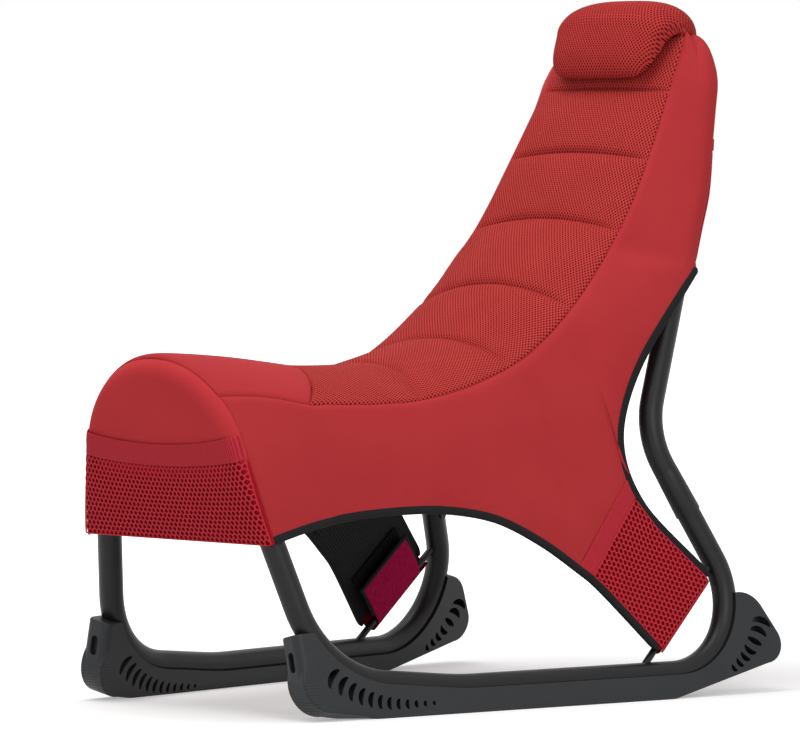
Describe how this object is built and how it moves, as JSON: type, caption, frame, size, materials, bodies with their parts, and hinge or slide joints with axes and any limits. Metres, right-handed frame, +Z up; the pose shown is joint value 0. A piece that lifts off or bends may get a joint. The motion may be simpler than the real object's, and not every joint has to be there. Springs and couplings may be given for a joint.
{
  "type": "rocking gaming chair",
  "caption": "Low rocking lounge chair: a bent-tube frame on moulded rocker soles carries a stretched, quilted cloth seat and back with a saddle head pillow and net pockets.",
  "frame": {"origin": "on the floor, under the middle of the chair's box", "axes": "+Z up, -Y is the way the sitter faces, +X is the sitter's left"},
  "size_m": [0.6844, 1.001, 0.9798],
  "materials": {
    "frame_steel": "satin black powder coat",
    "inner_steel": "bare drawn steel",
    "screw_steel": "black oxide",
    "sole_plastic": "moulded, matt",
    "red_mesh": "quilted spacer mesh",
    "red_cloth": "smooth stretch cloth",
    "red_net": "coarse open net",
    "elastic": "ribbed elastic",
    "crimson_cloth": "smooth cloth",
    "black_tape": "woven binding tape",
    "black_lining": "ribbed lining cloth"
  },
  "bodies": {
    "chair": {"front_hoop": "frame_steel", "back_hoop": "frame_steel", "joint_screws": "screw_steel", "sole_screws": "screw_steel", "seat_back_pad": "red_mesh", "saddle_panel": "red_cloth", "front_panel": "red_cloth", "back_panel": "red_cloth", "top_cap": "red_cloth", "front_pocket_net": "red_net", "back_pocket_net": "red_net", "front_pocket_band": "elastic", "left_side_tube": "frame_steel", "right_side_tube": "frame_steel", "left_leg_sleeve": "inner_steel", "right_leg_sleeve": "inner_steel", "left_upright_sleeve": "inner_steel", "right_upright_sleeve": "inner_steel", "left_wing_rod": "frame_steel", "right_wing_rod": "frame_steel", "left_sole": "sole_plastic", "right_sole": "sole_plastic", "left_side_panel": "red_cloth", "right_side_panel": "red_cloth", "left_lower_binding": "black_tape", "right_lower_binding": "black_tape", "left_rear_binding": "black_tape", "right_rear_binding": "black_tape", "left_wing_band": "elastic", "right_wing_band": "elastic", "left_wing_net": "red_net", "right_wing_net": "red_net", "left_wing_lining": "black_lining", "right_wing_lining": "black_lining", "left_hook_strip": "black_tape", "right_hook_strip": "black_tape"},
    "head_pillow": {"head_pillow": "red_cloth", "pillow_flap": "red_cloth"},
    "left_wing_flap": {"left_wing_flap": "crimson_cloth"},
    "right_wing_flap": {"right_wing_flap": "crimson_cloth"}
  },
  "joints": [
    {"name": "head_pillow_lift", "type": "slide", "parent": "chair", "child": "head_pillow", "axis": [0, 0.3007, 0.9537], "range_m": [0, 0.13]},
    {"name": "left_wing_flap_turn", "type": "hinge", "parent": "chair", "child": "left_wing_flap", "pos_m": [0.29214, 0.17188, 0.04295], "axis": [0.0507, -0.7332, -0.6782], "range_deg": [0, 110]},
    {"name": "right_wing_flap_turn", "type": "hinge", "parent": "chair", "child": "right_wing_flap", "pos_m": [-0.29214, 0.17188, 0.04295], "axis": [0.0507, 0.7332, 0.6782], "range_deg": [0, 110]}
  ]
}
